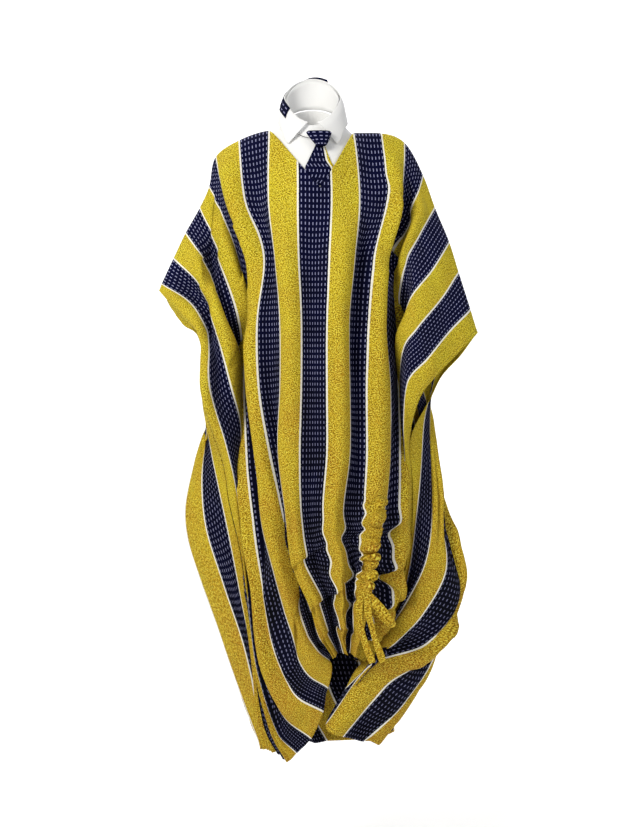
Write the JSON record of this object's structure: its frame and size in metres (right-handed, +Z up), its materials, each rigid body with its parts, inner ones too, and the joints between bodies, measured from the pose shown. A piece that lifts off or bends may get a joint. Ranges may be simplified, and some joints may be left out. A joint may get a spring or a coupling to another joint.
{
  "type": "kaftan dress",
  "caption": "Wide hollow kaftan in striped wax print, worn open, with a V neck over a white shirt collar, a tie and a drawstring-gathered front.",
  "frame": {"origin": "middle of the shoulder line, inside the dress, where the wearer's shoulders carry it", "axes": "+Z up, -Y out of the dress's front, +X towards the viewer's right when the front is faced"},
  "size_m": [0.6812, 0.2798, 1.47],
  "materials": {
    "wax_print_cotton": "soft woven cotton, matte",
    "navy_print_cotton": "soft woven cotton, matte",
    "white_shirting": "smooth shirt cotton, matte"
  },
  "bodies": {
    "root": {"front_panel": "wax_print_cotton", "back_panel": "wax_print_cotton", "shirt_yoke": "white_shirting", "collar_stand": "white_shirting", "collar_leaf": "white_shirting", "tie_band": "navy_print_cotton", "tie_knot": "navy_print_cotton", "tie_blade": "navy_print_cotton", "drawstring_casing": "wax_print_cotton", "drawstring_bow": "wax_print_cotton", "drawstring_end_left": "wax_print_cotton", "drawstring_end_right": "wax_print_cotton"}
  },
  "joints": []
}
